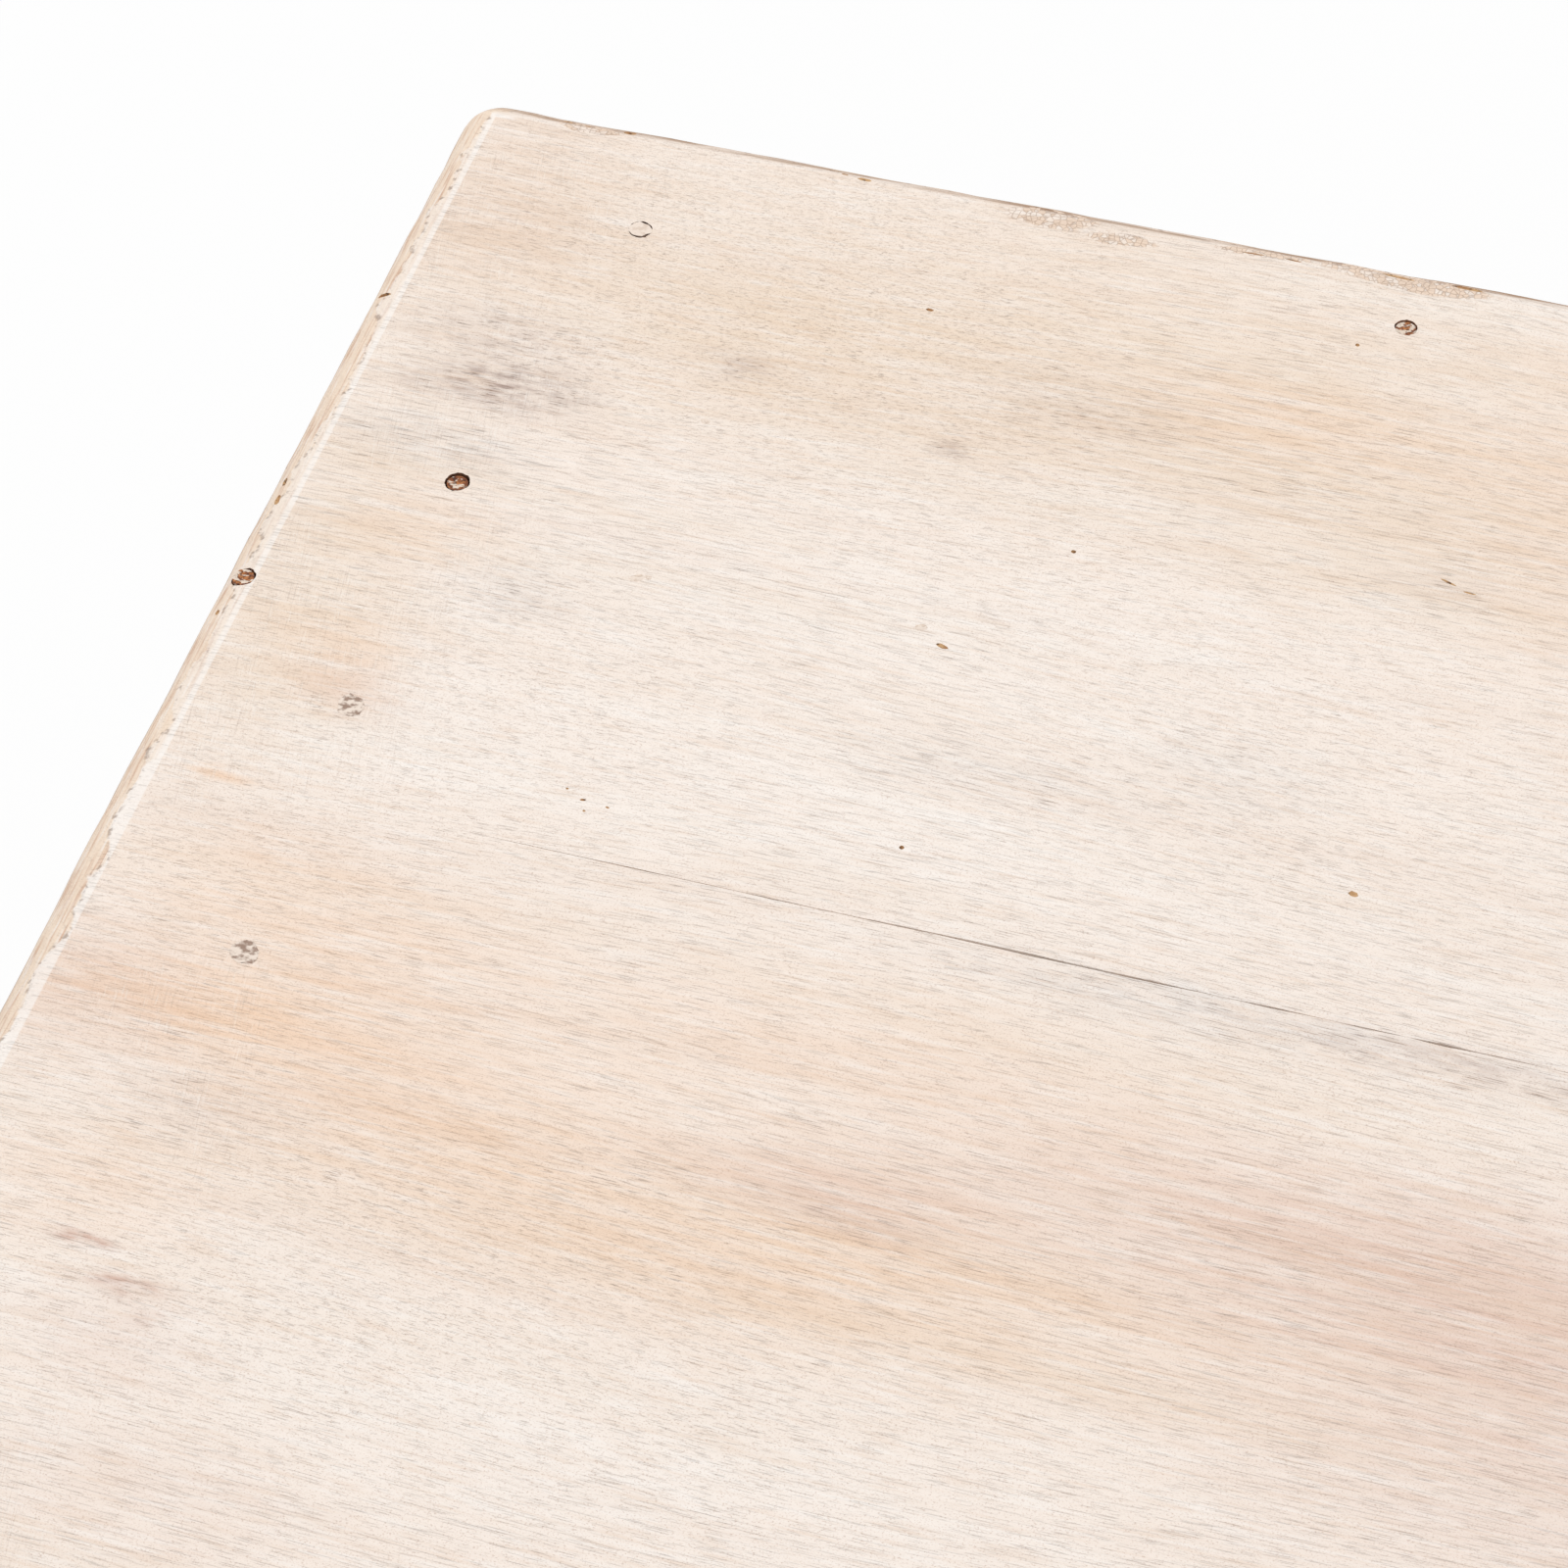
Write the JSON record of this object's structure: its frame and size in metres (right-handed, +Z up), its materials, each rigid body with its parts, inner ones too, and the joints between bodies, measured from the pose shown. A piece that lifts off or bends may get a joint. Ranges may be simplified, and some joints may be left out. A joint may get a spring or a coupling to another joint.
{
  "type": "apple box",
  "caption": "Plain rectangular wooden box with a slot handhold in each end, used on set to raise, prop or level gear and people.",
  "frame": {"origin": "middle of the box's footprint, on the surface it stands on", "axes": "+X along the length to the right, +Y across the width to the back, +Z up"},
  "size_m": [0.508, 0.3048, 0.2032],
  "materials": {
    "outer_wood": "whitewashed pine, worn to bare wood along the edges",
    "inner_wood": "bare sawn pine",
    "nail": "rusted, partly whitewashed over"
  },
  "bodies": {
    "root": {"back_side": "outer_wood", "bottom_back_board": "outer_wood", "bottom_back_nail_1": "nail", "bottom_back_nail_2": "nail", "bottom_front_board": "outer_wood", "bottom_front_nail_1": "nail", "bottom_front_nail_2": "nail", "bottom_left_nail_1": "nail", "bottom_left_nail_2": "nail", "bottom_left_nail_3": "nail", "bottom_left_nail_4": "nail", "bottom_right_nail_1": "nail", "bottom_right_nail_2": "nail", "bottom_right_nail_3": "nail", "bottom_right_nail_4": "nail", "centre_rib": "inner_wood", "front_side": "outer_wood", "left_back_nail_1": "nail", "left_back_nail_2": "nail", "left_back_nail_3": "nail", "left_bottom_cleat": "inner_wood", "left_end": "outer_wood", "left_front_nail_1": "nail", "left_front_nail_2": "nail", "left_front_nail_3": "nail", "left_top_cleat": "inner_wood", "right_back_nail_1": "nail", "right_back_nail_2": "nail", "right_back_nail_3": "nail", "right_bottom_cleat": "inner_wood", "right_end": "outer_wood", "right_front_nail_1": "nail", "right_front_nail_2": "nail", "right_front_nail_3": "nail", "right_top_cleat": "inner_wood", "top_back_board": "outer_wood", "top_back_nail_1": "nail", "top_back_nail_2": "nail", "top_back_nail_3": "nail", "top_front_board": "outer_wood", "top_front_nail_1": "nail", "top_front_nail_2": "nail", "top_front_nail_3": "nail", "top_left_nail_1": "nail", "top_left_nail_2": "nail", "top_left_nail_3": "nail", "top_left_nail_4": "nail", "top_left_nail_5": "nail", "top_left_nail_6": "nail", "top_rib_back_nail": "nail", "top_rib_front_nail": "nail", "top_right_nail_1": "nail", "top_right_nail_2": "nail", "top_right_nail_3": "nail", "top_right_nail_4": "nail", "top_right_nail_5": "nail", "top_right_nail_6": "nail", "top_rim_nail": "nail"}
  },
  "joints": []
}
